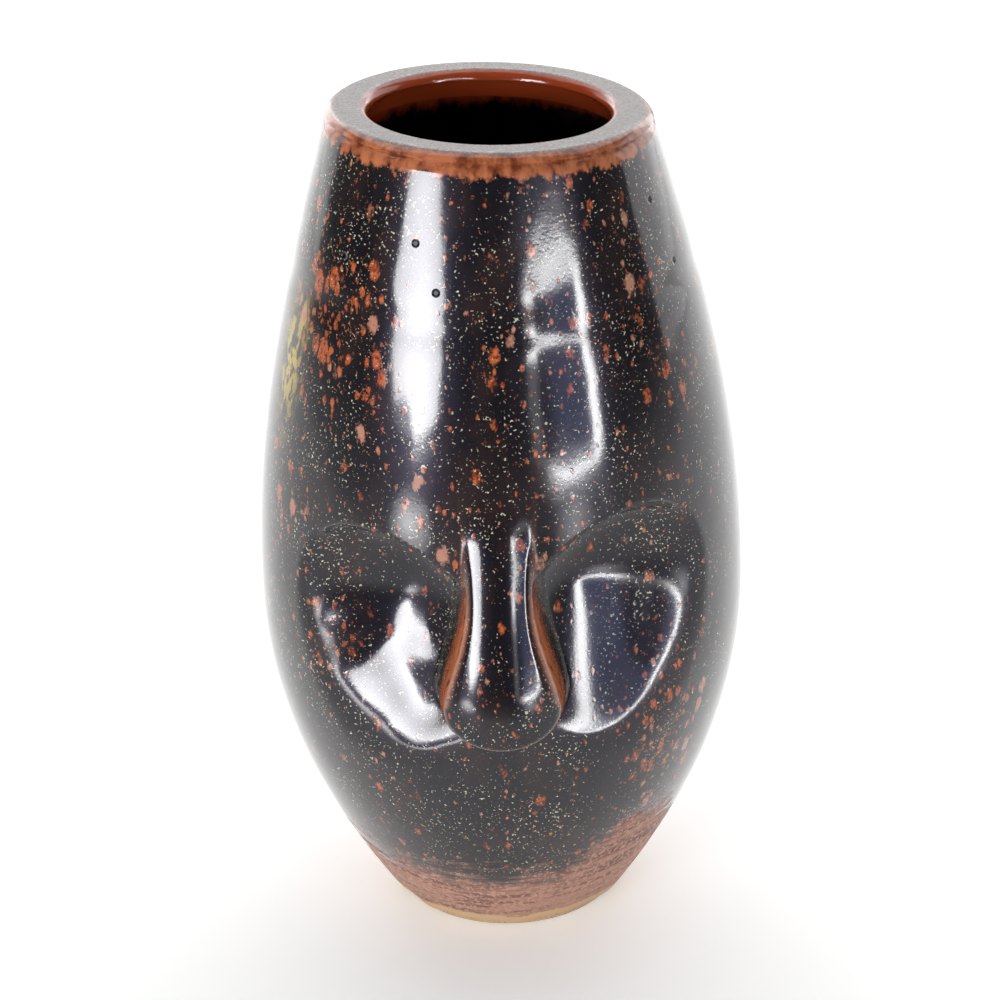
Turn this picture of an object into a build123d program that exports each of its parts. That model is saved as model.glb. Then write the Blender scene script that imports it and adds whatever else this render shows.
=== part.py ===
from build123d import *
import os
from math import cos, degrees, pi, radians, sin

# Hand-thrown stoneware vase with a face: two eye hollows pressed into the wall and a nose
# luted on between them, under a thick glaze that stops short of the foot.
# Millimetres. The origin is the centre of the foot, +Z is up and the face looks along -Y.

# Outside of the thrown wall
RIM_HEIGHT = 200.0
RIM_RADIUS = 35.5
RIM_TILT_DEGREES = 2.2
BELLY_RADIUS = 57.0
BELLY_HEIGHT = 84.0
FOOT_RADIUS = 27.7
SHOULDER_ROUND_share = 1.23
BOWL_ROUND_share = 1.08

# Thickness of the wall, lip and floor
LIP_WALL = 7.6
LIP_DEPTH = 30.0
BELLY_WALL = 6.0
BASE_WALL = 8.0
FLOOR_THICKNESS = 9.0
FLOOR_CORNER = 14.0
LIP_OUTER_ROUND = 2.2
LIP_INNER_ROUND = 1.4

# Flat foot, cut from the wheel with a wire
FOOT_BEVEL = 0.8

# Eye hollows: each is pressed by an egg-shaped thumb that leans in under the brow. Its middle
# stays outside the wall, and it faces a little more forwards than the wall does there.
THUMB_STANDOFF = 18.5
THUMB_ACROSS = 28.3
THUMB_HEIGHT = 73.4
LEFT_THUMB_DROP = 3.5
THUMB_TURN_DEGREES = 14.2
THUMB_LEAN_DEGREES = 27.0
THUMB_HALF_WIDTH = 39.3
THUMB_HALF_HEIGHT = 55.0
THUMB_HALF_DEPTH = 19.3

# Nose: level ellipses whose middles lie inside the wall, closed below by a round tip
NOSE_TOP_HEIGHT = 122.0
NOSE_TIP_HEIGHT = 82.0
NOSE_TIP_DROP = 11.0
NOSE_TOP_SINK = 2.5
NOSE_PROJECTION = 11.0
NOSE_ROOT_DEPTH = 8.0
NOSE_BRIDGE_HALF_WIDTH = 8.0
NOSE_TIP_HALF_WIDTH = 14.5

# Glaze coats
GLAZE_THICKNESS = 0.8
GLAZE_LINE_HEIGHT = 2.8
GLAZE_LAP = 6.0

# Points along the wall, sections of the nose, steps of a bend, and the overrun of cuts
WALL_STEPS = 9
NOSE_STEPS = 6
BEND_STEPS = 5
OVERRUN = 8.0


def wall_radius(height):
    """Outside radius of the round wall, before the face is pressed into it."""
    if height < BELLY_HEIGHT:
        fall = 1 - height / BELLY_HEIGHT
        bowl = BOWL_ROUND_share * fall**2 + (1 - BOWL_ROUND_share) * fall**3
        return BELLY_RADIUS - (BELLY_RADIUS - FOOT_RADIUS) * bowl
    rise = (height - BELLY_HEIGHT) / (RIM_HEIGHT - BELLY_HEIGHT)
    shoulder = SHOULDER_ROUND_share * rise**2 + (1 - SHOULDER_ROUND_share) * rise**4
    return BELLY_RADIUS - (BELLY_RADIUS - RIM_RADIUS) * shoulder


def inside_radius(height):
    """Inside radius of the wall, which thickens into the base and into the lip."""
    base = max(0, 1 - height / BELLY_HEIGHT)
    lip = max(0, 1 - (RIM_HEIGHT - height) / LIP_DEPTH)
    extra = (BASE_WALL - BELLY_WALL) * base**2 + (LIP_WALL - BELLY_WALL) * lip**2
    return wall_radius(height) - BELLY_WALL - extra


def thumb(side, growth):
    """The egg-shaped end of the thumb, less the clay or glaze that lies over its print."""
    size = (THUMB_HALF_WIDTH - growth, THUMB_HALF_DEPTH - growth, THUMB_HALF_HEIGHT - growth)
    height = THUMB_HEIGHT - (LEFT_THUMB_DROP if side < 0 else 0)
    across = Rot(0, 0, side * degrees(THUMB_ACROSS / BELLY_RADIUS))
    middle = Pos(0, -BELLY_RADIUS - THUMB_STANDOFF, height)
    lean = Rot(0, 0, -side * THUMB_TURN_DEGREES) * Rot(-THUMB_LEAN_DEGREES, 0, 0)
    return across * middle * lean * scale(Sphere(1), by=size)


def turned(points):
    """A solid of revolution with a smooth side, closed flat to the axis at both ends."""
    side = Edge.make_spline(points)
    bottom = Vector(0, 0, points[0].Z)
    top = Vector(0, 0, points[-1].Z)
    edges = [Edge.make_line(bottom, side @ 0), side, Edge.make_line(side @ 1, top)]
    return revolve(Face(Wire(edges + [Edge.make_line(top, bottom)])), Axis.Z)


def heights_between(low, high):
    return [low + (high - low) * i / WALL_STEPS for i in range(WALL_STEPS + 1)]


def wall_lump(growth):
    """The wall as a full lump with its hollows pressed, grown outwards by the glaze."""
    heights = heights_between(0, RIM_HEIGHT + OVERRUN)
    lump = turned([Vector(wall_radius(z) + growth, 0, z) for z in heights])
    for side in (-1, 1):
        lump = lump - thumb(side, growth)
    return lump


def nose_roll(growth):
    """A roll of clay that stands out further as it goes down, to a round tip."""
    sections = []
    for i in range(NOSE_STEPS):
        fall = i / NOSE_STEPS
        height = NOSE_TOP_HEIGHT - (NOSE_TOP_HEIGHT - NOSE_TIP_HEIGHT) * fall
        out = (NOSE_PROJECTION + NOSE_TOP_SINK) * fall - NOSE_TOP_SINK
        swell = (NOSE_TIP_HALF_WIDTH - NOSE_BRIDGE_HALF_WIDTH) * fall**3
        sections.append((height, NOSE_BRIDGE_HALF_WIDTH + swell, NOSE_ROOT_DEPTH + out))
    for i in range(BEND_STEPS):
        bend = pi / 2 * i / BEND_STEPS
        height = NOSE_TIP_HEIGHT - (NOSE_TIP_DROP + growth) * sin(bend)
        depth = (NOSE_ROOT_DEPTH + NOSE_PROJECTION) * cos(bend)
        sections.append((height, NOSE_TIP_HALF_WIDTH * cos(bend), depth))
    faces = []
    for height, half_width, depth in sections:
        middle = Plane((0, NOSE_ROOT_DEPTH - wall_radius(height), height))
        faces.append(middle * Ellipse(half_width + growth, depth + growth))
    return loft(faces)


def cavity(growth):
    """The room inside the pot, less the glaze on it and the bulges behind the hollows."""
    floor = FLOOR_THICKNESS + growth
    points = []
    for i in range(BEND_STEPS):
        bend = pi / 2 * i / BEND_STEPS
        height = floor + FLOOR_CORNER * (1 - cos(bend))
        drawn_in = growth + FLOOR_CORNER * (1 - sin(bend))
        points.append(Vector(inside_radius(height) - drawn_in, 0, height))
    for height in heights_between(floor + FLOOR_CORNER, RIM_HEIGHT + OVERRUN):
        points.append(Vector(inside_radius(height) - growth, 0, height))
    room = turned(points)
    for side in (-1, 1):
        room = room - thumb(side, -BELLY_WALL - growth)
    return room


def rim_plane(above):
    """The plane of the lip, which is a little higher on the left of the face."""
    tilt = radians(RIM_TILT_DEGREES)
    return Plane((0, 0, RIM_HEIGHT + above), z_dir=(sin(tilt), 0, cos(tilt)))


def rounded_lip(pot, growth):
    """Trims a pot at its rim and rounds the outer and the inner edge of the lip."""
    pot = split(pot, bisect_by=rim_plane(growth), keep=Keep.BOTTOM)
    for which, radius in ((-1, LIP_OUTER_ROUND), (0, LIP_INNER_ROUND)):
        lip = pot.faces().filter_by(GeomType.PLANE).sort_by(Axis.Z)[-1]
        edge = lip.edges().sort_by(SortBy.LENGTH)[which]
        pot = fillet(edge, radius + growth)
    return pot


def main():
    os.makedirs("parts", exist_ok=True)
    lap = rim_plane(-GLAZE_LAP)
    clay = wall_lump(0)
    room = cavity(0)
    mouth = split(room, bisect_by=lap, keep=Keep.TOP)
    belly = split(room, bisect_by=lap, keep=Keep.BOTTOM)

    # Thrown pot: wall, lip, floor and foot from one lump of clay
    lipped = rounded_lip(clay - mouth, 0)
    emptied = lipped - belly
    thrown_pot = chamfer(emptied.faces().sort_by(Axis.Z)[0].edges(), FOOT_BEVEL)
    export_step(thrown_pot, "parts/thrown_pot.step")

    # Nose: the roll as far as it stands out of the wall
    nose = nose_roll(0) - clay
    export_step(nose, "parts/nose.step")

    # Outer glaze: from the glaze line over the lip to the lap inside the mouth
    glazed_room = cavity(GLAZE_THICKNESS)
    glazed_mouth = split(glazed_room, bisect_by=lap, keep=Keep.TOP)
    glazed = rounded_lip(wall_lump(GLAZE_THICKNESS) - glazed_mouth, GLAZE_THICKNESS)
    coat = glazed + nose_roll(GLAZE_THICKNESS) - (lipped + nose)
    outer_glaze = split(coat, bisect_by=Plane((0, 0, GLAZE_LINE_HEIGHT)), keep=Keep.TOP)
    export_step(outer_glaze, "parts/outer_glaze.step")

    # Liner glaze: on the inside of the wall and the floor, up to the lap
    liner_glaze = belly - glazed_room
    export_step(liner_glaze, "parts/liner_glaze.step")


main()
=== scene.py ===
from math import atan2, cos, exp, hypot, pi, radians, sin, sqrt, tan

import bmesh
import bpy
import mathutils
from mathutils import Matrix, Vector


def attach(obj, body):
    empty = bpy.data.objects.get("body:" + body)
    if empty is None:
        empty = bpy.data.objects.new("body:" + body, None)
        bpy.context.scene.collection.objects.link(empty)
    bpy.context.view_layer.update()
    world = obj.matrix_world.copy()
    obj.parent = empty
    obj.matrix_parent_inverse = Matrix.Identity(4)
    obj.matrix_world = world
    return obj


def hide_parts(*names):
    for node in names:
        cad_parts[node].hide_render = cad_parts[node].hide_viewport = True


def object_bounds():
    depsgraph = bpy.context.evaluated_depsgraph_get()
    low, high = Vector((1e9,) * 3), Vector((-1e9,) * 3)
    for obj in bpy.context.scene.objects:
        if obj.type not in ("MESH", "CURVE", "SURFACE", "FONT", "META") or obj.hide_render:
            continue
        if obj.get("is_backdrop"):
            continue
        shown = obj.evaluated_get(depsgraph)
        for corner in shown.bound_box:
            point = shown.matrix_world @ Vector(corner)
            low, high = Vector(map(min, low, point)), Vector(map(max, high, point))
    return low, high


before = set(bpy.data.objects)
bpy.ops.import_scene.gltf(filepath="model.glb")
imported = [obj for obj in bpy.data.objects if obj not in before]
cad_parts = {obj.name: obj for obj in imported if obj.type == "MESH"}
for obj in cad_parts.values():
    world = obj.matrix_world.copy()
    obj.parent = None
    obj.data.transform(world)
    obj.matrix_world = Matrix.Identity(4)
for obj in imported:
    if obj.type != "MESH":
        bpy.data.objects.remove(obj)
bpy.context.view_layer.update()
collection = bpy.context.scene.collection

# Camera: held in front of the vase at about half a metre, looking down into the mouth. The
# face looks along -Y. The slight roll is the photographer's.
CAMERA_LENS = 90.2
CAMERA_BEFORE = 0.539
CAMERA_HEIGHT = 0.364
CAMERA_TILT = radians(64.18)
CAMERA_ROLL = radians(-1.58)
camera_data = bpy.data.cameras.new("camera")
camera_data.sensor_width = 36.0
camera_data.lens = CAMERA_LENS
camera = bpy.data.objects.new("camera", camera_data)
turned = Matrix.Rotation(CAMERA_TILT, 4, "X") @ Matrix.Rotation(CAMERA_ROLL, 4, "Z")
camera.matrix_world = Matrix.Translation((0.0, -CAMERA_BEFORE, CAMERA_HEIGHT)) @ turned
collection.objects.link(camera)
bpy.context.scene.camera = camera
bpy.context.scene.view_settings.view_transform = "Standard"

# Table: a wide, plain, pale top in a pool of light from the lamps. It also has a painted glow for camera,
# mirror and transmission rays, even round a point behind the vase and fading out beyond POOL_RADIUS. It
# reads as white in the photograph, and the shadow of the vase stays on it.
def plain_material(name):
    """A new material, its nodes, and the place on the piece that they read."""
    material = bpy.data.materials.new(name)
    material.use_nodes = True
    tree = material.node_tree
    return material, tree, tree.nodes.new("ShaderNodeTexCoord").outputs["Object"]


def ramp(tree, value, low, high, to_low=0.0, to_high=1.0):
    """Eases from to_low to to_high while the value goes from low to high."""
    step = tree.nodes.new("ShaderNodeMapRange")
    step.interpolation_type = "SMOOTHSTEP"
    step.inputs["From Min"].default_value = low
    step.inputs["From Max"].default_value = high
    step.inputs["To Min"].default_value = to_low
    step.inputs["To Max"].default_value = to_high
    tree.links.new(value, step.inputs["Value"])
    return step.outputs["Result"]


def arithmetic(tree, operation, one, other):
    """One sum of two numbers, each of them a value or a socket."""
    step = tree.nodes.new("ShaderNodeMath")
    step.operation = operation
    for socket, number in zip(step.inputs, (one, other)):
        if isinstance(number, float):
            socket.default_value = number
        else:
            tree.links.new(number, socket)
    return step.outputs["Value"]


def length(tree, vector):
    """How long a vector is."""
    step = tree.nodes.new("ShaderNodeVectorMath")
    step.operation = "LENGTH"
    tree.links.new(vector, step.inputs[0])
    return step.outputs["Value"]


def stretched(tree, vector, scale, offset=(0.0, 0.0, 0.0)):
    """The same coordinates, squeezed or stretched along each axis."""
    mapping = tree.nodes.new("ShaderNodeMapping")
    mapping.inputs["Location"].default_value = offset
    mapping.inputs["Scale"].default_value = scale
    tree.links.new(vector, mapping.inputs["Vector"])
    return mapping.outputs["Vector"]


TABLE_HALF_WIDTH = 8.0
POOL_RADIUS = 0.75
POOL_FADED = POOL_RADIUS * 1.4
POOL_BEHIND = 0.5
POOL_GLOW = 0.34
table_mesh = bmesh.new()
bmesh.ops.create_grid(table_mesh, x_segments=1, y_segments=1, size=TABLE_HALF_WIDTH)
table_data = bpy.data.meshes.new("table")
table_mesh.to_mesh(table_data)
table_mesh.free()
table = bpy.data.objects.new("table", table_data)
collection.objects.link(table)
table_paint, tree, place = plain_material("table_paint")
paint = tree.nodes["Principled BSDF"]
paint.inputs["Base Color"].default_value = (0.86, 0.86, 0.855, 1.0)
paint.inputs["Roughness"].default_value = 0.6
paint.inputs["Specular IOR Level"].default_value = 0.2
paint.inputs["Emission Color"].default_value = (1.0, 1.0, 1.0, 1.0)
seen_by = tree.nodes.new("ShaderNodeLightPath").outputs
seen = arithmetic(tree, "ADD", seen_by["Is Camera Ray"], seen_by["Is Glossy Ray"])
seen = arithmetic(tree, "ADD", seen, seen_by["Is Transmission Ray"])
# Painted light: the table's glow, even round a point half a metre behind the vase, fades to nothing
# between POOL_RADIUS and POOL_FADED.
from_pool = length(tree, stretched(tree, place, (1.0, 1.0, 1.0), (0.0, -POOL_BEHIND, 0.0)))
painted_pool_glow = ramp(tree, from_pool, POOL_RADIUS, POOL_FADED, POOL_GLOW, 0.0)
tree.links.new(arithmetic(tree, "MULTIPLY", seen, painted_pool_glow), paint.inputs["Emission Strength"])
table_data.materials.append(table_paint)
table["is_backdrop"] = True

# Room: dim all round, so that the upright sides of the glossy pot mirror little besides
# the lamps and the table.
room = bpy.data.worlds.new("room")
bpy.context.scene.world = room
room.use_nodes = True
room.node_tree.nodes["Background"].inputs["Color"].default_value = (1.0, 1.0, 1.0, 1.0)
room.node_tree.nodes["Background"].inputs["Strength"].default_value = 0.06


# Lamps: a large soft box hangs over the table and makes a pool of light there. Two panels
# with honeycomb grids stand in front: an oval one on the left, and on the right one that
# shines only round its edge. Before each lies a small bright card, and pale walls stand
# behind and beside.
def lamp(name, azimuth, distance, foot, width, height, radiance, spread=179.0):
    """A panel that faces the turning axis; azimuth is from the front, positive rightwards."""
    data = bpy.data.lights.new(name, "AREA")
    data.shape = "RECTANGLE"
    data.size = width
    data.size_y = height
    data.spread = radians(spread)
    beam = radians(spread / 2)
    data.energy = radiance * pi * width * height * (1 - beam / tan(beam))
    light = bpy.data.objects.new(name, data)
    way = Vector((sin(radians(azimuth)), -cos(radians(azimuth)), 0.0))
    light.location = way * distance + Vector((0.0, 0.0, foot + height / 2))
    light.rotation_euler = way.to_track_quat("Z", "Y").to_euler()
    collection.objects.link(light)
    return light


def from_middle(tree):
    """The place on a panel, from -1 to 1 across it and up it."""
    parametric = tree.nodes.new("ShaderNodeNewGeometry").outputs["Parametric"]
    return stretched(tree, parametric, (2.0, 2.0, 0.0), (-1.0, -1.0, 0.0))


def rounded_panel(light, corner, stops):
    """Shines by the distance from a core to the edge of a panel with round corners."""
    light.data.use_nodes = True
    tree = light.data.node_tree
    vector = from_middle(tree)
    wide, high = corner
    limits = (
        ("ABSOLUTE", (0.0, 0.0, 0.0)),
        ("SUBTRACT", (1 - wide, 1 - high, 0.0)),
        ("MAXIMUM", (0.0, 0.0, 0.0)),
        ("DIVIDE", (wide, high, 1.0)),
    )
    for operation, other in limits:
        step = tree.nodes.new("ShaderNodeVectorMath")
        step.operation = operation
        tree.links.new(vector, step.inputs[0])
        step.inputs[1].default_value = other
        vector = step.outputs["Vector"]
    glow = tree.nodes.new("ShaderNodeValToRGB")
    glow.color_ramp.elements[0].position = stops[0][0]
    glow.color_ramp.elements[0].color = (*stops[0][1], 1.0)
    glow.color_ramp.elements[1].position = 1.0
    glow.color_ramp.elements[1].color = (0.0, 0.0, 0.0, 1.0)
    for position, colour in stops[1:]:
        glow.color_ramp.elements.new(position).color = (*colour, 1.0)
    tree.links.new(length(tree, vector), glow.inputs["Fac"])
    tree.links.new(glow.outputs["Color"], tree.nodes["Emission"].inputs["Color"])


def worn_cloth(light, at, reach, loss):
    """Dims a panel by a loss round one place of its cloth."""
    tree = light.data.node_tree
    scale = (1 / reach[0], 1 / reach[1], 0.0)
    offset = (-at[0] / reach[0], -at[1] / reach[1], 0.0)
    away = length(tree, stretched(tree, from_middle(tree), scale, offset))
    kept = ramp(tree, away, 0.6, 1.0, 1.0 - loss, 1.0)
    tree.links.new(kept, tree.nodes["Emission"].inputs["Strength"])


GRID_SPREAD = 60.0
PANEL_DISTANCE = 1.15
LEFT_AZIMUTH = -41.0
RIGHT_AZIMUTH = 33.0
WHITE = (1.0, 1.0, 1.0)
left_panel = lamp("left_panel", LEFT_AZIMUTH, PANEL_DISTANCE, 0.055, 0.62, 0.44, 28.0, GRID_SPREAD)
rounded_panel(left_panel, (1.0, 1.0), [(0.0, WHITE), (0.92, WHITE)])
worn_cloth(left_panel, (-0.40, -1.0), (0.50, 0.50), 0.85)
right_ring = lamp("right_ring", RIGHT_AZIMUTH, PANEL_DISTANCE, 0.008, 0.76, 0.374, 50.0, GRID_SPREAD)
RING_STOPS = [(0.0, (0.012, 0.015, 0.025)), (0.44, (0.015, 0.02, 0.03)), (0.60, WHITE), (0.86, WHITE)]
rounded_panel(right_ring, (0.66, 0.30), RING_STOPS)
worn_cloth(right_ring, (-0.9, -0.3), (0.8, 1.0), 0.94)
overhead = lamp("overhead_box", 180.0, 1.2, 0.0, 1.8, 2.6, 1.55)
overhead.location.z = 1.1
overhead.rotation_euler = (0.0, 0.0, 0.0)
lamp("back_wall", 180.0, 2.2, 0.15, 3.2, 1.3, 1.1)
lamp("right_wall", 127.0, 1.3, 0.005, 1.5, 0.95, 1.4)
lamp("left_wall", -142.0, 1.3, 0.005, 1.1, 0.95, 1.2)
for name, azimuth, radiance in (("left_card", LEFT_AZIMUTH, 15.0), ("right_card", RIGHT_AZIMUTH, 5.0)):
    card = lamp(name, azimuth, 0.74, 0.0, 0.26, 0.62, radiance)
    card.location.z = 0.002
    card.rotation_euler = (pi, 0.0, radians(azimuth))
    rounded_panel(card, (1.0, 1.0), [(0.0, WHITE), (0.15, (0.9, 0.9, 0.9))])


# Thrown pot: wall, floor and foot from one lump of iron-speckled stoneware, cut from the
# wheel with a wire. Only a narrow ring of it is bare, below the glaze. Its outside follows
# the softened hollows, and its inside the bulges behind them.
def noise(tree, vector, scale, detail=3.0, roughness=0.5):
    """A noise texture of the given number of lumps per metre."""
    texture = tree.nodes.new("ShaderNodeTexNoise")
    texture.inputs["Scale"].default_value = scale
    texture.inputs["Detail"].default_value = detail
    texture.inputs["Roughness"].default_value = roughness
    tree.links.new(vector, texture.inputs["Vector"])
    return texture.outputs["Fac"]


def blend(tree, share, below, above):
    """Lays one colour over another by a share; each colour is a value or a socket."""
    mix = tree.nodes.new("ShaderNodeMix")
    mix.data_type = "RGBA"
    tree.links.new(share, mix.inputs["Factor"])
    for name, colour in (("A", below), ("B", above)):
        socket = [s for s in mix.inputs if s.name == name and s.type == "RGBA"][0]
        if isinstance(colour, tuple):
            socket.default_value = (*colour, 1.0)
        else:
            tree.links.new(colour, socket)
    return [s for s in mix.outputs if s.type == "RGBA"][0]


def bumped(tree, height):
    """Shades the surface as if it were raised by a height in metres."""
    bump = tree.nodes.new("ShaderNodeBump")
    bump.inputs["Strength"].default_value = 1.0
    bump.inputs["Distance"].default_value = 1.0
    tree.links.new(height, bump.inputs["Height"])
    tree.links.new(bump.outputs["Normal"], tree.nodes["Principled BSDF"].inputs["Normal"])


def ease(value, low, high):
    """Goes smoothly from 0 to 1 while the value goes from low to high."""
    share = min(1.0, max(0.0, (value - low) / (high - low)))
    return share * share * (3 - 2 * share)


def soft_least(one, other, reach):
    """The smaller of two lengths, with the corner between them rounded."""
    near = max(0.0, reach - abs(one - other)) / reach
    return min(one, other) - near**3 * reach / 6


GLAZE = 0.0008
RIM_HEIGHT = 0.200
RIM_RADIUS = 0.0355
RIM_TILT = tan(radians(2.2))
BELLY_RADIUS = 0.057
BELLY_HEIGHT = 0.084
FOOT_RADIUS = 0.0277
SHOULDER_ROUND = 1.23
BOWL_ROUND = 1.08
LIP_WALL = 0.0076
LIP_DEPTH = 0.030
BELLY_WALL = 0.006
BASE_WALL = 0.008
FLOOR_THICKNESS = 0.009
FLOOR_CORNER = 0.014
FOOT_BEVEL = 0.0008


def wall_radius(height):
    """Radius of the clay wall before the face is pressed into it."""
    if height < BELLY_HEIGHT:
        fall = 1 - height / BELLY_HEIGHT
        bowl = BOWL_ROUND * fall**2 + (1 - BOWL_ROUND) * fall**3
        return BELLY_RADIUS - (BELLY_RADIUS - FOOT_RADIUS) * bowl
    rise = (height - BELLY_HEIGHT) / (RIM_HEIGHT - BELLY_HEIGHT)
    shoulder = SHOULDER_ROUND * rise**2 + (1 - SHOULDER_ROUND) * rise**4
    return BELLY_RADIUS - (BELLY_RADIUS - RIM_RADIUS) * shoulder


def inside_radius(height):
    """Inside radius of the clay wall, which thickens into the base and into the lip."""
    base = max(0.0, 1 - height / BELLY_HEIGHT)
    lip = max(0.0, 1 - (RIM_HEIGHT - height) / LIP_DEPTH)
    extra = (BASE_WALL - BELLY_WALL) * base**2 + (LIP_WALL - BELLY_WALL) * lip**2
    return wall_radius(height) - BELLY_WALL - extra


# The print of a leaning egg shape makes each hollow. The inverse of its matrix takes a point
# to a ball of radius 1.
THUMB_STANDOFF = 0.0185
THUMB_ACROSS = 0.0283
THUMB_HEIGHT = 0.0734
LEFT_THUMB_DROP = 0.0035
THUMB_TURN = radians(14.2)
THUMB_LEAN = radians(27.0)
THUMB_HALF_WIDTH = 0.0393
THUMB_HALF_HEIGHT = 0.055
THUMB_HALF_DEPTH = 0.0193

# The floor of each hollow is a little fuller at its outer edge, on the cheek, and deeper in
# under the brow beside the nose. The left one is uneven too, by LEFT_UNEVENNESS at most.
CHEEK_ACROSS = 0.046
CHEEK_HEIGHT = 0.080
CHEEK_HALF_WIDTH = 0.009
CHEEK_HALF_HEIGHT = 0.018
CHEEK_FULLNESS = 0.0015
BROW_ACROSS = 0.018
BROW_HEIGHT = 0.107
BROW_HALF_WIDTH = 0.020
BROW_HALF_HEIGHT = 0.009
BROW_DEPTH = 0.0016
LEFT_UNEVENNESS = 0.0007
UNEVEN_LUMPS = 88.0

# The edge of a hollow is rounded over this length beside the nose, and over more of it
# towards the cheek.
EDGE_ROUND = 0.0045
CHEEK_EXTRA_ROUND = 0.0055
EXTRA_FROM = 0.018
EXTRA_FULL = 0.045


def bell(offset, half_width):
    """Goes smoothly from 1 in the middle of a swelling to 0 well outside it."""
    return exp(-((offset / half_width) ** 2))


def thumbs(growth):
    """For each print: its side, its shift upwards, and the matrix that takes it to a ball."""
    prints = []
    for side in (-1, 1):
        height = THUMB_HEIGHT - (LEFT_THUMB_DROP if side < 0 else 0)
        across = Matrix.Rotation(side * THUMB_ACROSS / BELLY_RADIUS, 4, "Z")
        middle = Matrix.Translation((0, -BELLY_RADIUS - THUMB_STANDOFF, height))
        lean = Matrix.Rotation(-side * THUMB_TURN, 4, "Z") @ Matrix.Rotation(-THUMB_LEAN, 4, "X")
        size = (THUMB_HALF_WIDTH - growth, THUMB_HALF_DEPTH - growth, THUMB_HALF_HEIGHT - growth)
        print_of = (across @ middle @ lean @ Matrix.Diagonal((*size, 1))).inverted()
        prints.append((side, height - THUMB_HEIGHT, print_of))
    return prints


# Where the wall only skims the ball, its edge is softened by this share of its radius.
SKIM = 0.12
outer_prints = thumbs(GLAZE)
inner_prints = thumbs(-BELLY_WALL)


def pressed(radius, angle, height, prints):
    """The radius of a round wall after both hollows are pressed into it."""
    outward = Vector((sin(angle), -cos(angle), 0))
    edge = EDGE_ROUND + CHEEK_EXTRA_ROUND * ease(abs(angle) * BELLY_RADIUS, EXTRA_FROM, EXTRA_FULL)
    for side, shift, print_of in prints:
        start = print_of @ Vector((0, 0, height))
        way = print_of.to_3x3() @ outward
        along = start.dot(way) / way.length_squared
        miss = start.length_squared - along * along * way.length_squared
        if along < 0:
            inside = 1 - miss
            if inside > 0:
                inside = sqrt(inside + SKIM**2) - SKIM * exp(-inside / (2 * SKIM**2))
            else:
                inside /= SKIM
            entry = -along - inside / way.length
            arc = side * angle * BELLY_RADIUS
            up = height - shift
            cheek = bell(arc - CHEEK_ACROSS, CHEEK_HALF_WIDTH)
            cheek *= bell(up - CHEEK_HEIGHT, CHEEK_HALF_HEIGHT)
            brow = bell(arc - BROW_ACROSS, BROW_HALF_WIDTH)
            brow *= bell(up - BROW_HEIGHT, BROW_HALF_HEIGHT)
            entry += CHEEK_FULLNESS * cheek - BROW_DEPTH * brow
            if side < 0:
                point = outward * BELLY_RADIUS + Vector((0, 0, height))
                entry += LEFT_UNEVENNESS * mathutils.noise.noise(point * UNEVEN_LUMPS)
            radius = soft_least(radius, entry, edge)
    return radius


# Throwing rings: the height of each groove, its half width and its depth
GROOVES = ((0.1648, 0.0040, 0.00025), (0.0330, 0.0060, 0.00010), (0.0190, 0.0040, 0.00010))
HAND_LUMPS = 62.0
HAND_HEIGHT = 0.00007


def thrown_surface(angle, height):
    """How the rings that fingers left, and their unevenness, stand off the true wall."""
    rings = 0.0
    for middle, half_width, depth in GROOVES:
        rings -= depth * bell(height - middle, half_width)
    point = Vector((sin(angle), -cos(angle), 0)) * BELLY_RADIUS + Vector((0, 0, height))
    lumps = mathutils.noise.noise(point * HAND_LUMPS)
    lumps += 0.3 * mathutils.noise.noise(point * HAND_LUMPS * 3.1)
    return rings + HAND_HEIGHT * (lumps - 1.0)


# The rim tilts the upper wall between these heights.
TILT_FROM = 0.150
TILT_FULL = 0.199


def standing(radius, angle, height, sag=0.0):
    """The point of the pot at an angle from the front, lifted with the tilt of the rim."""
    lift = -RIM_TILT * radius * sin(angle) * ease(height, TILT_FROM, TILT_FULL)
    return (radius * sin(angle), -radius * cos(angle), height + lift + sag)


def steps_between(low, high, step):
    """Even heights from low up to just before high, about a step apart."""
    count = max(1, round((high - low) / step))
    return [low + (high - low) * i / count for i in range(count)]


def bends(steps):
    """The angles of a quarter round, from nothing to a right angle."""
    return [pi / 2 * i / steps for i in range(steps + 1)]


def floor_corner(inset, steps):
    """Points of the round corner from the wall down to the floor, that far inside the clay."""
    points = []
    for bend in bends(steps)[1:-1]:
        height = FLOOR_THICKNESS + inset + FLOOR_CORNER * (1 - sin(bend))
        points.append((inside_radius(height) - inset - FLOOR_CORNER * (1 - cos(bend)), height))
    return points


def spun(outline, around):
    """A closed body of revolution, as an unfinished mesh. Its points are (radius, height)."""
    mesh = bmesh.new()
    ring = [mesh.verts.new((0, -radius, height)) for radius, height in outline]
    closing = 0 if outline[0][0] > 0 else 1
    edges = [mesh.edges.new((ring[i - 1], ring[i])) for i in range(closing, len(ring))]
    bmesh.ops.spin(
        mesh,
        geom=ring + edges,
        cent=(0, 0, 0),
        axis=(0, 0, 1),
        angle=2 * pi,
        steps=around,
        use_merge=True,
    )
    bmesh.ops.remove_doubles(mesh, verts=mesh.verts, dist=1e-7)
    return mesh


SHARP_ANGLE = radians(48)


def finished(name, mesh, material, node):
    """Makes the object of a piece, which rides the body and stands in for its CAD solid."""
    bmesh.ops.recalc_face_normals(mesh, faces=mesh.faces)
    for face in mesh.faces:
        face.smooth = True
    data = bpy.data.meshes.new(name)
    mesh.to_mesh(data)
    mesh.free()
    data.set_sharp_from_angle(angle=SHARP_ANGLE)
    piece = bpy.data.objects.new(name, data)
    collection.objects.link(piece)
    data.materials.append(material)
    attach(piece, "root")
    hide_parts(node)
    return piece


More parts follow.
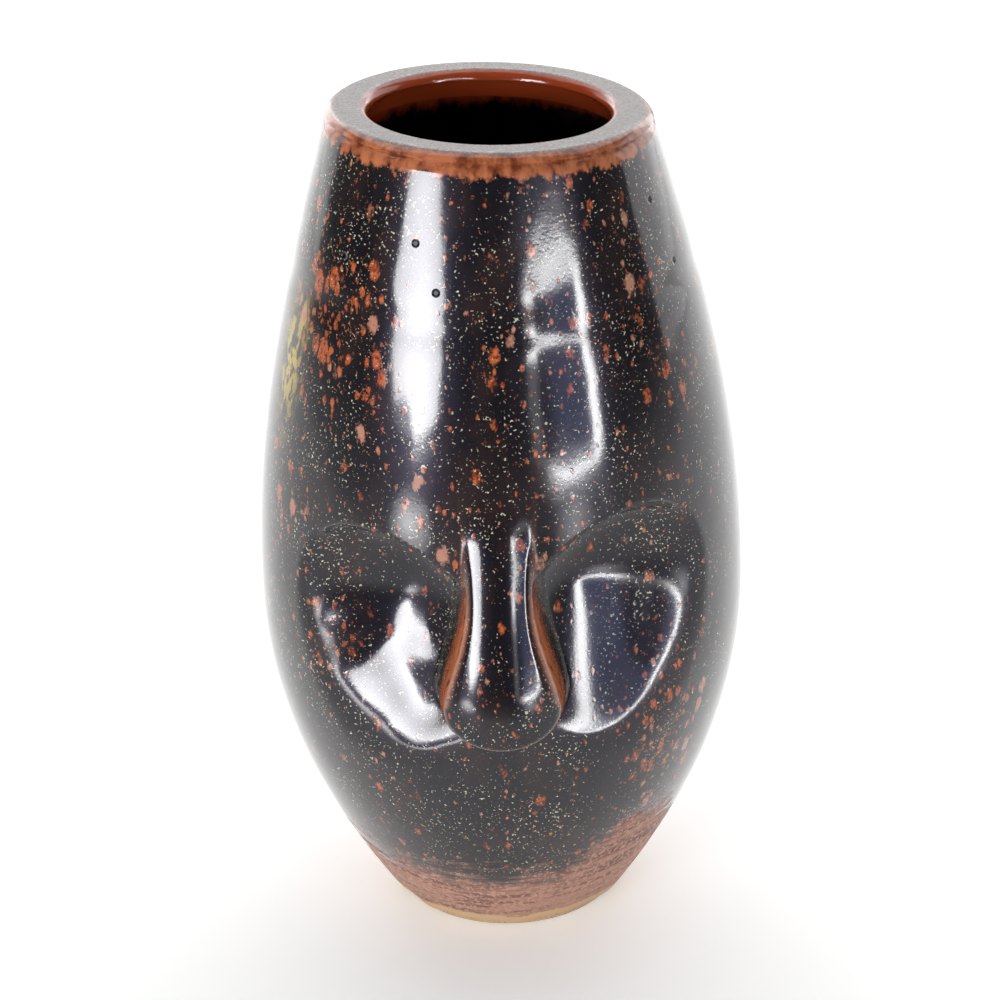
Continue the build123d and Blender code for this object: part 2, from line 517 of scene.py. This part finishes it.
CLAY_OUTER_ROUND = 0.0022
CLAY_INNER_ROUND = 0.0014
OUTSIDE_STEP = 0.0026
INSIDE_STEP = 0.004
AROUND_CLAY = 160
OUTSIDE_SKIN = 0.0004
clay_outline = [(0.0, 0.0), (FOOT_RADIUS * 0.5, 0.0), (FOOT_RADIUS - FOOT_BEVEL, 0.0)]
clay_outline += [(wall_radius(FOOT_BEVEL), FOOT_BEVEL)]
for height in steps_between(FOOT_BEVEL * 2, RIM_HEIGHT - CLAY_OUTER_ROUND, OUTSIDE_STEP):
    clay_outline.append((wall_radius(height), height))
for bend in bends(3):
    radius = wall_radius(RIM_HEIGHT) - CLAY_OUTER_ROUND * (1 - cos(bend))
    clay_outline.append((radius, RIM_HEIGHT - CLAY_OUTER_ROUND * (1 - sin(bend))))
mouth_clay = inside_radius(RIM_HEIGHT)
clay_outline += [(mouth_clay + CLAY_INNER_ROUND, RIM_HEIGHT), (mouth_clay, RIM_HEIGHT - CLAY_INNER_ROUND)]
corner_top = FLOOR_THICKNESS + FLOOR_CORNER
for height in reversed(steps_between(corner_top, RIM_HEIGHT - INSIDE_STEP, INSIDE_STEP)):
    clay_outline.append((inside_radius(height), height))
clay_outline += floor_corner(0.0, 5)
floor_edge = inside_radius(FLOOR_THICKNESS) - FLOOR_CORNER
for radius in (floor_edge, floor_edge * 0.5, 0.0):
    clay_outline.append((radius, FLOOR_THICKNESS))
clay_mesh = spun(clay_outline, AROUND_CLAY)
for vert in clay_mesh.verts:
    x, y, z = vert.co
    radius = hypot(x, y)
    angle = atan2(x, -y)
    if radius > wall_radius(z) - OUTSIDE_SKIN and z > FOOT_BEVEL / 2:
        radius = min(radius, pressed(wall_radius(z) + GLAZE, angle, z, outer_prints) - GLAZE)
    elif corner_top < z < RIM_HEIGHT - LIP_DEPTH:
        radius = pressed(radius, angle, z, inner_prints)
    vert.co = standing(radius, angle, z)
clay, tree, place = plain_material("bare_stoneware")
tone = noise(tree, place, 180.0, 4.0)
colour = blend(tree, tone, (0.50, 0.32, 0.17), (0.72, 0.53, 0.33))
iron = ramp(tree, noise(tree, place, 1100.0, 2.0), 0.60, 0.68)
colour = blend(tree, iron, colour, (0.24, 0.13, 0.07))
tree.links.new(colour, tree.nodes["Principled BSDF"].inputs["Base Color"])
tree.nodes["Principled BSDF"].inputs["Roughness"].default_value = 0.85
grain = noise(tree, place, 1500.0, 4.0)
bumped(tree, arithmetic(tree, "MULTIPLY", grain, 0.00012))
thrown_clay = finished("thrown_clay", clay_mesh, clay, "thrown_pot")

# Nose: a roll of the same clay, scored and luted on between the hollows with slip. It widens
# to a round tip. The glaze covers all of it, and its back lies inside the wall.
NOSE_MIDDLE = -0.0007
NOSE_TOP = 0.124
NOSE_TIP = 0.083
NOSE_BOTTOM = 0.0712
NOSE_RISE = 0.0108
NOSE_FRONT_ROUND = 0.019
BRIDGE_HALF_WIDTH = 0.0078
TIP_HALF_WIDTH = 0.0146
FLANK = tan(radians(71))
NOSE_SHOULDER_ROUND = 0.0062
NOSE_ROOT_ROUND = 0.0025


def nose_parts(across, height):
    """How far the front and the flanks of the nose stand off the round wall, and how far
    the point lies inside its outline."""
    across = across - NOSE_MIDDLE
    fall = (NOSE_TOP - height) / (NOSE_TOP - NOSE_TIP)
    front = NOSE_RISE * soft_least(fall, 1.03, 0.2) - across**2 / (2 * NOSE_FRONT_ROUND)
    swell = ease(fall, 0.25, 1.12) ** 1.5
    half_width = BRIDGE_HALF_WIDTH + (TIP_HALF_WIDTH - BRIDGE_HALF_WIDTH) * swell
    inside = half_width - abs(across)
    drop = NOSE_TIP - NOSE_BOTTOM
    if height < NOSE_TIP:
        down = (NOSE_TIP - height) / drop
        over = 1 - (across / half_width) ** 2 - down**2
        slope = 2 * hypot(across / half_width**2, down / drop)
        inside = over / max(slope, 1e-6)
    return front, inside * FLANK, inside


# The nose touches the wall only inside this angle and between these heights.
NOSE_ANGLE = 0.6
NOSE_FROM = 0.055
NOSE_TO = 0.135


def glazed_radius(angle, height):
    """Radius of the outside of the glaze, and how thin the glaze has run there."""
    round_wall = wall_radius(height) + GLAZE + thrown_surface(angle, height)
    wall = pressed(round_wall, angle, height, outer_prints)
    thin = 0.0
    if abs(angle) < NOSE_ANGLE and NOSE_FROM < height < NOSE_TO:
        front, flank, inside = nose_parts(angle * round_wall, height)
        rise = soft_least(front, flank, NOSE_SHOULDER_ROUND)
        wall = -soft_least(-wall, -(round_wall + rise), NOSE_ROOT_ROUND)
        # The glaze runs thin down both flanks, less so by the bridge and not under the tip.
        thin = ease(front - flank, -0.0035, 0.001) * ease(inside, -0.0012, 0.0004)
        thin *= ease(height, 0.0705, 0.0775) * (1 - 0.8 * ease(height, 0.100, 0.114))
    return wall, thin


# The roll is a grid that is pulled out to a slab. Each of its points is then set under the
# glaze in front, or a little way into the wall behind.
NOSE_ACROSS_STEPS = 28
NOSE_UP_STEPS = 40
NOSE_BELOW = 0.002
NOSE_SINK = 0.003
LEAST_CLAY = 0.0004
UNDER_GLAZE = GLAZE * 1.3
nose_mesh = bmesh.new()
bmesh.ops.create_grid(nose_mesh, x_segments=NOSE_ACROSS_STEPS, y_segments=NOSE_UP_STEPS, size=1.0)
pulled = bmesh.ops.extrude_face_region(nose_mesh, geom=nose_mesh.faces[:])["geom"]
in_front = {part for part in pulled if isinstance(part, bmesh.types.BMVert)}
for vert in nose_mesh.verts:
    share, up = vert.co.xy
    height = NOSE_BOTTOM - NOSE_BELOW + (NOSE_TOP - NOSE_BOTTOM) * (up + 1) / 2
    fall = min(1.0, (NOSE_TOP - height) / (NOSE_TOP - NOSE_TIP))
    reach = BRIDGE_HALF_WIDTH + (TIP_HALF_WIDTH - BRIDGE_HALF_WIDTH) * fall
    angle = (NOSE_MIDDLE + reach * share) / wall_radius(height)
    radius = pressed(wall_radius(height) + GLAZE, angle, height, outer_prints) - GLAZE - NOSE_SINK
    if vert in in_front:
        radius = max(radius + LEAST_CLAY, glazed_radius(angle, height)[0] - UNDER_GLAZE)
    vert.co = (radius * sin(angle), -radius * cos(angle), height)
nose_clay = clay.copy()
nose_clay.name = "nose_stoneware"
nose_roll = finished("nose_roll", nose_mesh, nose_clay, "nose")

# Outer glaze: a thick iron glaze that the pot was dipped in, fired in reduction. It is glossy
# and nearly black where it lies thick, with crystals and iron spots in it. It breaks to rust
# on the rim and the flanks of the nose, and ends in a dry band above the foot.
GLAZE_LINE = 0.0026
HALF_COAT = 0.0028
FULL_COAT = 0.0036
FACE_FROM = 0.060
FACE_TO = 0.128
FACE_STEP = 0.00062
COAT_STEP = 0.0013
BACK_STEP = 0.008
LAP = 0.006
LIP_OUTER_ROUND = 0.003
LIP_INNER_ROUND = 0.0022
AROUND_COAT = 384
FACE_SHARE = 0.55
SAG = 0.0009
SAG_TO = 0.012
BACK_DEPTH = GLAZE * 1.06
BACK_TO = RIM_HEIGHT - 0.001
MOUTH_RINGS = (0.1975, 0.1965, 0.1955)

# The coat's back lies a hair inside the clay, so that no gap shows, and its top lies a hair
# lower than its full thickness.
HAIR = 0.00005
top = RIM_HEIGHT + GLAZE - HAIR
outer_corner = top - LIP_OUTER_ROUND
lip_outside = wall_radius(outer_corner) + GLAZE
lap_height = RIM_HEIGHT - LAP
mouth_radius = inside_radius(RIM_HEIGHT) - GLAZE
inner_corner = mouth_radius + LIP_INNER_ROUND

# The section of the coat goes up the outside from the glaze line, over the lip, down to the
# lap inside the mouth, and back between glaze and clay.
outline = [(wall_radius(GLAZE_LINE) - HAIR, GLAZE_LINE)]
outline.append((wall_radius(HALF_COAT) + GLAZE * 0.5, HALF_COAT))
stretches = (
    (FULL_COAT, FACE_FROM, COAT_STEP),
    (FACE_FROM, FACE_TO, FACE_STEP),
    (FACE_TO, outer_corner, COAT_STEP),
)
for low, high, step in stretches:
    for height in steps_between(low, high, step):
        outline.append((wall_radius(height) + GLAZE, height))
for bend in bends(6):
    radius = lip_outside - LIP_OUTER_ROUND * (1 - cos(bend))
    outline.append((radius, outer_corner + LIP_OUTER_ROUND * sin(bend)))
for share in (0.75, 0.5, 0.25):
    outline.append((inner_corner + share * (lip_outside - LIP_OUTER_ROUND - inner_corner), top))
for bend in bends(6):
    radius = mouth_radius + LIP_INNER_ROUND * (1 - sin(bend))
    outline.append((radius, top - LIP_INNER_ROUND * (1 - cos(bend))))
for height in (*MOUTH_RINGS, lap_height):
    outline.append((inside_radius(height) - GLAZE, height))
outline.append((inside_radius(lap_height) + HAIR, lap_height))
outline.append((inside_radius(RIM_HEIGHT), RIM_HEIGHT - CLAY_INNER_ROUND + 2 * HAIR))
outline.append((inside_radius(RIM_HEIGHT) + CLAY_INNER_ROUND, RIM_HEIGHT - HAIR))
outline.append((wall_radius(RIM_HEIGHT) - CLAY_OUTER_ROUND - 2 * HAIR, RIM_HEIGHT - HAIR))
for height in reversed(steps_between(FULL_COAT, RIM_HEIGHT - CLAY_OUTER_ROUND, BACK_STEP)):
    outline.append((wall_radius(height) - HAIR, height))

# The steps round the pot crowd towards the face. The coat keeps, for its material, how thin
# it has run, the height before the tilt, and which side of the lip it lies on.
glaze_mesh = spun(outline, AROUND_COAT)
thin_layer = glaze_mesh.verts.layers.float.new("thin_glaze")
height_layer = glaze_mesh.verts.layers.float.new("thrown_height")
mouth_layer = glaze_mesh.verts.layers.float.new("mouth_side")
for vert in glaze_mesh.verts:
    x, y, z = vert.co
    radius = hypot(x, y)
    angle = atan2(x, -y)
    angle = angle - FACE_SHARE * sin(angle)
    clay_wall = wall_radius(z)
    vert[height_layer] = z
    mouth_wall = inside_radius(min(z, RIM_HEIGHT)) - GLAZE
    vert[mouth_layer] = 1.0 - ease(radius - mouth_wall, 0.0004, LIP_INNER_ROUND)
    if radius > clay_wall + GLAZE / 4 and z < outer_corner + 2 * HAIR:
        radius, vert[thin_layer] = glazed_radius(angle, z)
        if z < (HALF_COAT + FULL_COAT) / 2:
            radius -= GLAZE / 2
    elif radius > clay_wall - GLAZE / 2 and z < BACK_TO:
        radius = pressed(clay_wall + GLAZE, angle, z, outer_prints) - BACK_DEPTH
    ragged = mathutils.noise.noise(Vector((sin(angle) * 4, cos(angle) * 4, 0.5)))
    sag = SAG * ragged * (1 - ease(z, GLAZE_LINE, SAG_TO))
    vert.co = standing(radius, angle, z, sag)


def on_wall(arc, height):
    """The point of the wall at a distance round its belly from the middle of the face."""
    angle = arc / BELLY_RADIUS
    return Vector(standing(wall_radius(height) + GLAZE, angle, height))


def patch(tree, vector, arc, height, across, up, firm=0.0):
    """A round area of the wall, from 1 in its middle to 0 at its reach across and up."""
    size = Vector((1 / across, 1 / across, 1 / up))
    middle = on_wall(arc, height) * size
    mapped = stretched(tree, vector, tuple(size), tuple(-n for n in middle))
    return ramp(tree, length(tree, mapped), firm, 1.0, 1.0, 0.0)


def greatest(tree, values):
    """The largest of several values."""
    most = values[0]
    for value in values[1:]:
        most = arithmetic(tree, "MAXIMUM", most, value)
    return most


def attribute(tree, name):
    """A value that the mesh keeps at each of its points."""
    node = tree.nodes.new("ShaderNodeAttribute")
    node.attribute_name = name
    return node.outputs["Fac"]


def with_share(tree, value, other, share):
    """A value with a share of another one added to it."""
    return arithmetic(tree, "ADD", value, arithmetic(tree, "MULTIPLY", other, share))


# The black that both glazes share, mottled with brown where more iron lies
iron_black = bpy.data.node_groups.new("iron_black", "ShaderNodeTree")
iron_black.interface.new_socket("Place", in_out="INPUT", socket_type="NodeSocketVector")
iron_black.interface.new_socket("Colour", in_out="OUTPUT", socket_type="NodeSocketColor")
at = stretched(iron_black, iron_black.nodes.new("NodeGroupInput").outputs["Place"], (1.0, 1.0, 0.4))
mottle = ramp(iron_black, noise(iron_black, at, 120.0, 5.0, 0.6), 0.42, 0.68)
black = blend(iron_black, mottle, (0.0055, 0.005, 0.0065), (0.019, 0.011, 0.010))
iron_black.links.new(black, iron_black.nodes.new("NodeGroupOutput").inputs["Colour"])


def iron_glaze(name):
    """A material that starts from the black of both glazes."""
    material, tree, place = plain_material(name)
    black = tree.nodes.new("ShaderNodeGroup")
    black.node_tree = iron_black
    tree.links.new(place, black.inputs["Place"])
    return material, tree, place, black.outputs["Colour"]


tenmoku, tree, place, colour = iron_glaze("iron_glaze")
height = attribute(tree, "thrown_height")

# Where the iron spots crowd: the place round the belly and up, the reach across and up, and
# how much
crowded = []
CROWDS = (
    (-0.052, 0.163, 0.030, 0.036, 1.0),
    (-0.034, 0.152, 0.016, 0.024, 0.7),
    (-0.060, 0.120, 0.020, 0.034, 0.55),
    (-0.045, 0.086, 0.014, 0.020, 0.75),
    (0.047, 0.158, 0.020, 0.030, 0.75),
    (0.042, 0.124, 0.012, 0.012, 0.6),
    (0.042, 0.064, 0.020, 0.034, 1.0),
    (0.036, 0.040, 0.014, 0.016, 0.9),
    (0.012, 0.113, 0.010, 0.014, 0.75),
    (-0.011, 0.112, 0.006, 0.016, 0.7),
    (0.004, 0.156, 0.016, 0.014, 0.35),
    (-0.030, 0.119, 0.009, 0.005, 0.8),
    (-0.018, 0.136, 0.020, 0.010, 0.45),
    (0.004, 0.050, 0.008, 0.012, 0.6),
)
for arc, up, across, reach, weight in CROWDS:
    area = patch(tree, place, arc, up, across, reach)
    crowded.append(arithmetic(tree, "MULTIPLY", area, weight))
crowd = greatest(tree, crowded)
spots_at = stretched(tree, place, (1.0, 1.0, 0.6))
fray = arithmetic(tree, "MULTIPLY", noise(tree, spots_at, 1100.0, 3.0, 0.65), 0.62)


def scattered(tree, vector, scale, least, crowd, gain):
    """Frayed spots, one in each cell, whose size grows where they crowd."""
    cells = tree.nodes.new("ShaderNodeTexVoronoi")
    cells.inputs["Scale"].default_value = scale
    tree.links.new(vector, cells.inputs["Vector"])
    luck = tree.nodes.new("ShaderNodeSeparateColor")
    tree.links.new(cells.outputs["Color"], luck.inputs["Color"])
    size = ramp(tree, luck.outputs["Red"], 0.0, 1.0, 0.04, 0.47)
    size = with_share(tree, size, crowd, gain)
    frayed = arithmetic(tree, "ADD", cells.outputs["Distance"], fray)
    edge = arithmetic(tree, "SUBTRACT", frayed, size)
    return ramp(tree, edge, least - 0.04, least + 0.17, 1.0, 0.0), luck.outputs["Green"]


large, luck = scattered(tree, spots_at, 240.0, -0.02, crowd, 0.30)
small = scattered(tree, spots_at, 500.0, -0.02, crowd, 0.26)[0]
spots = arithmetic(tree, "MAXIMUM", large, small)
spot_tone = ramp(tree, noise(tree, place, 900.0, 4.0, 0.7), 0.33, 0.67)
spot_colour = blend(tree, spot_tone, (0.11, 0.018, 0.007), (0.56, 0.140, 0.042))
pale_spot = ramp(tree, luck, 0.70, 0.97)
spot_colour = blend(tree, pale_spot, spot_colour, (0.40, 0.19, 0.125))
colour = blend(tree, spots, colour, spot_colour)
flecks = noise(tree, place, 900.0, 2.0, 0.6)
flecks = with_share(tree, flecks, crowd, 0.08)
colour = blend(tree, ramp(tree, flecks, 0.66, 0.74), colour, (0.22, 0.075, 0.035))

# Cream crystals everywhere, and a few larger drops of yellow green
clusters = noise(tree, place, 70.0, 2.0)
specks = noise(tree, place, 1700.0, 1.0)
specks = with_share(tree, specks, clusters, 0.22)
colour = blend(tree, ramp(tree, specks, 0.775, 0.850), colour, (0.46, 0.46, 0.34))
drops = tree.nodes.new("ShaderNodeTexVoronoi")
drops.inputs["Scale"].default_value = 170.0
tree.links.new(place, drops.inputs["Vector"])
frayed = arithmetic(tree, "ADD", drops.outputs["Distance"], fray)
drop = ramp(tree, frayed, 0.25, 0.33, 1.0, 0.0)
colour = blend(tree, drop, colour, (0.36, 0.36, 0.19))

# Yellow-green run on the far left
run = patch(tree, place, -0.067, 0.150, 0.010, 0.030)
run_noise = ramp(tree, noise(tree, spots_at, 500.0, 3.0), 0.42, 0.60)
colour = blend(tree, arithmetic(tree, "MULTIPLY", run, run_noise), colour, (0.44, 0.33, 0.04))

# Rust where the glaze is thin: on the flanks of the nose and round the rim
streaks = noise(tree, stretched(tree, place, (1.0, 1.0, 0.3)), 800.0, 3.0)
rust = blend(tree, streaks, (0.20, 0.035, 0.012), (0.60, 0.20, 0.075))
thin = arithmetic(tree, "MULTIPLY", attribute(tree, "thin_glaze"), ramp(tree, streaks, 0.22, 0.44))
colour = blend(tree, thin, colour, rust)
torn = noise(tree, stretched(tree, place, (1.0, 1.0, 0.6)), 330.0, 4.0, 0.6)
torn_height = with_share(tree, height, torn, 0.0075)
rim = ramp(tree, torn_height, 0.1994, 0.2006)
rim_rust = blend(tree, ramp(tree, torn, 0.35, 0.65), (0.15, 0.034, 0.012), (0.42, 0.14, 0.060))
colour = blend(tree, rim, colour, rim_rust)
colour = blend(tree, attribute(tree, "mouth_side"), colour, (0.36, 0.055, 0.013))
lip_grain = ramp(tree, noise(tree, place, 1000.0, 3.0, 0.65), 0.42, 0.60)
lip_colour = blend(tree, lip_grain, (0.022, 0.017, 0.014), (0.19, 0.140, 0.110))
outside_mouth = arithmetic(tree, "SUBTRACT", 1.0, attribute(tree, "mouth_side"))
lip = arithmetic(tree, "MULTIPLY", ramp(tree, height, 0.2003, 0.20078), outside_mouth)
colour = blend(tree, lip, colour, lip_colour)
lip_specks = arithmetic(tree, "MULTIPLY", lip, lip_grain)
bead_grain = noise(tree, place, 800.0, 2.0)
bead = arithmetic(tree, "MULTIPLY", attribute(tree, "mouth_side"), bead_grain)

# Dry, pinkish brown band above the foot, with darker streaks along the throwing rings
low_torn = noise(tree, stretched(tree, place, (1.0, 1.0, 1.2)), 150.0, 5.0, 0.62)
low_height = with_share(tree, height, low_torn, 0.026)
higher = patch(tree, place, 0.042, 0.034, 0.024, 0.030)
low_height = with_share(tree, low_height, higher, -0.017)
along_rings = noise(tree, stretched(tree, place, (0.12, 0.12, 1.6)), 420.0, 4.0, 0.6)
low_height = with_share(tree, low_height, along_rings, 0.030)
dry = ramp(tree, low_height, 0.0455, 0.0570, 1.0, 0.0)
ringed = ramp(tree, along_rings, 0.40, 0.58)
dry_colour = blend(tree, ringed, (0.22, 0.115, 0.092), (0.46, 0.250, 0.185))
dry_colour = blend(tree, ramp(tree, spot_tone, 0.5, 0.75), dry_colour, (0.54, 0.32, 0.240))
foot_height = with_share(tree, height, low_torn, 0.0030)
edge_of_coat = ramp(tree, foot_height, 0.0070, 0.0084, 1.0, 0.0)
dry_colour = blend(tree, edge_of_coat, dry_colour, (0.66, 0.45, 0.26))
colour = blend(tree, dry, colour, dry_colour)

# Pinholes, where gas broke through the glaze. Each is a real pit, sunk by the bump, and its near-black
# colour is painted shade inside the pit.
PINHOLES = ((-0.0232, 0.182), (-0.0162, 0.1725), (0.058, 0.186), (0.063, 0.171), (-0.048, 0.176))
PINHOLE_RADIUS = 0.0010
holes = []
for arc, up in PINHOLES:
    holes.append(patch(tree, place, arc, up, PINHOLE_RADIUS, PINHOLE_RADIUS, 0.5))
pinhole_and_painted_shade = greatest(tree, holes)
# Painted shade: each pinhole is coloured near-black where shade falls inside the pit.
colour = blend(tree, pinhole_and_painted_shade, colour, (0.004, 0.004, 0.004))
tree.links.new(colour, tree.nodes["Principled BSDF"].inputs["Base Color"])

# Orange peel all over. The spots, the dry band and the grain of the lip are slightly raised,
# and the pinholes are sunk.
peel = noise(tree, place, 1400.0, 2.0, 0.6)
relief = arithmetic(tree, "MULTIPLY", peel, 0.0000075)
rises = ((spots, 0.00001), (pinhole_and_painted_shade, -0.0004), (dry, 0.00001), (lip_specks, 0.00003), (bead, 0.00005))
for share, rise in rises:
    relief = with_share(tree, relief, share, rise)
dry_grain = arithmetic(tree, "MULTIPLY", noise(tree, place, 1400.0, 3.0), 0.00004)
relief = arithmetic(tree, "ADD", relief, arithmetic(tree, "MULTIPLY", dry_grain, dry))
bumped(tree, relief)
shader = tree.nodes["Principled BSDF"]
tree.links.new(ramp(tree, dry, 0.0, 1.0, 0.27, 0.62), shader.inputs["Roughness"])
dull = greatest(tree, [dry, pinhole_and_painted_shade, arithmetic(tree, "MULTIPLY", lip_specks, 0.55)])
gloss = ramp(tree, dull, 0.0, 1.0, 1.0, 0.12)
tree.links.new(gloss, shader.inputs["Coat Weight"])
tree.links.new(tree.nodes["Bump"].outputs["Normal"], shader.inputs["Coat Normal"])
shader.inputs["Coat Roughness"].default_value = 0.09
shader.inputs["Coat IOR"].default_value = 1.5
shader.inputs["IOR"].default_value = 1.45
shader.inputs["Specular IOR Level"].default_value = 0.16
shader.inputs["Specular Tint"].default_value = (0.62, 0.58, 1.0, 1.0)
glaze_coat = finished("glaze_coat", glaze_mesh, tenmoku, "outer_glaze")

# Liner glaze: the same glaze swilled round inside and poured out. It is black inside and
# rust red for a finger's breadth below the lip, where it ran thin.
AROUND_LINER = 192
LINER_STEP = 0.003
LINER_BACK_STEP = 0.006
liner_floor = FLOOR_THICKNESS + GLAZE
liner_back = FLOOR_THICKNESS - HAIR
floor_edge = inside_radius(liner_floor) - GLAZE - FLOOR_CORNER
liner_outline = [(0.0, liner_back), (floor_edge, liner_back)]
liner_outline += reversed(floor_corner(-HAIR, 6))
for height in steps_between(corner_top, lap_height, LINER_BACK_STEP):
    liner_outline.append((inside_radius(height) + HAIR, height))
liner_outline.append((inside_radius(lap_height) + HAIR, lap_height))
liner_outline.append((inside_radius(lap_height) - GLAZE, lap_height))
for height in reversed(steps_between(liner_floor + FLOOR_CORNER, lap_height, LINER_STEP)):
    liner_outline.append((inside_radius(height) - GLAZE, height))
liner_outline += floor_corner(GLAZE, 6)
for radius in (floor_edge, floor_edge / 2, 0.0):
    liner_outline.append((radius, liner_floor))
liner_mesh = spun(liner_outline, AROUND_LINER)
for vert in liner_mesh.verts:
    x, y, z = vert.co
    radius = hypot(x, y)
    angle = atan2(x, -y)
    if corner_top < z < RIM_HEIGHT - LIP_DEPTH:
        over = inside_radius(z) - radius
        radius = pressed(inside_radius(z), angle, z, inner_prints) - over
    vert.co = standing(radius, angle, z)
liner, tree, place, colour = iron_glaze("liner_iron_glaze")
parts = tree.nodes.new("ShaderNodeSeparateXYZ")
tree.links.new(place, parts.inputs["Vector"])
torn = noise(tree, stretched(tree, place, (1.0, 1.0, 0.6)), 260.0, 4.0, 0.6)
torn_height = with_share(tree, parts.outputs["Z"], torn, 0.007)
thin = ramp(tree, torn_height, 0.1945, 0.1985)
colour = blend(tree, thin, colour, (0.28, 0.038, 0.009))
tree.links.new(colour, tree.nodes["Principled BSDF"].inputs["Base Color"])
peel = noise(tree, place, 620.0, 3.0, 0.55)
bumped(tree, arithmetic(tree, "MULTIPLY", peel, 0.00002))
tree.nodes["Principled BSDF"].inputs["Roughness"].default_value = 0.14
tree.nodes["Principled BSDF"].inputs["IOR"].default_value = 1.6
liner_coat = finished("liner_coat", liner_mesh, liner, "liner_glaze")

low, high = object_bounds()
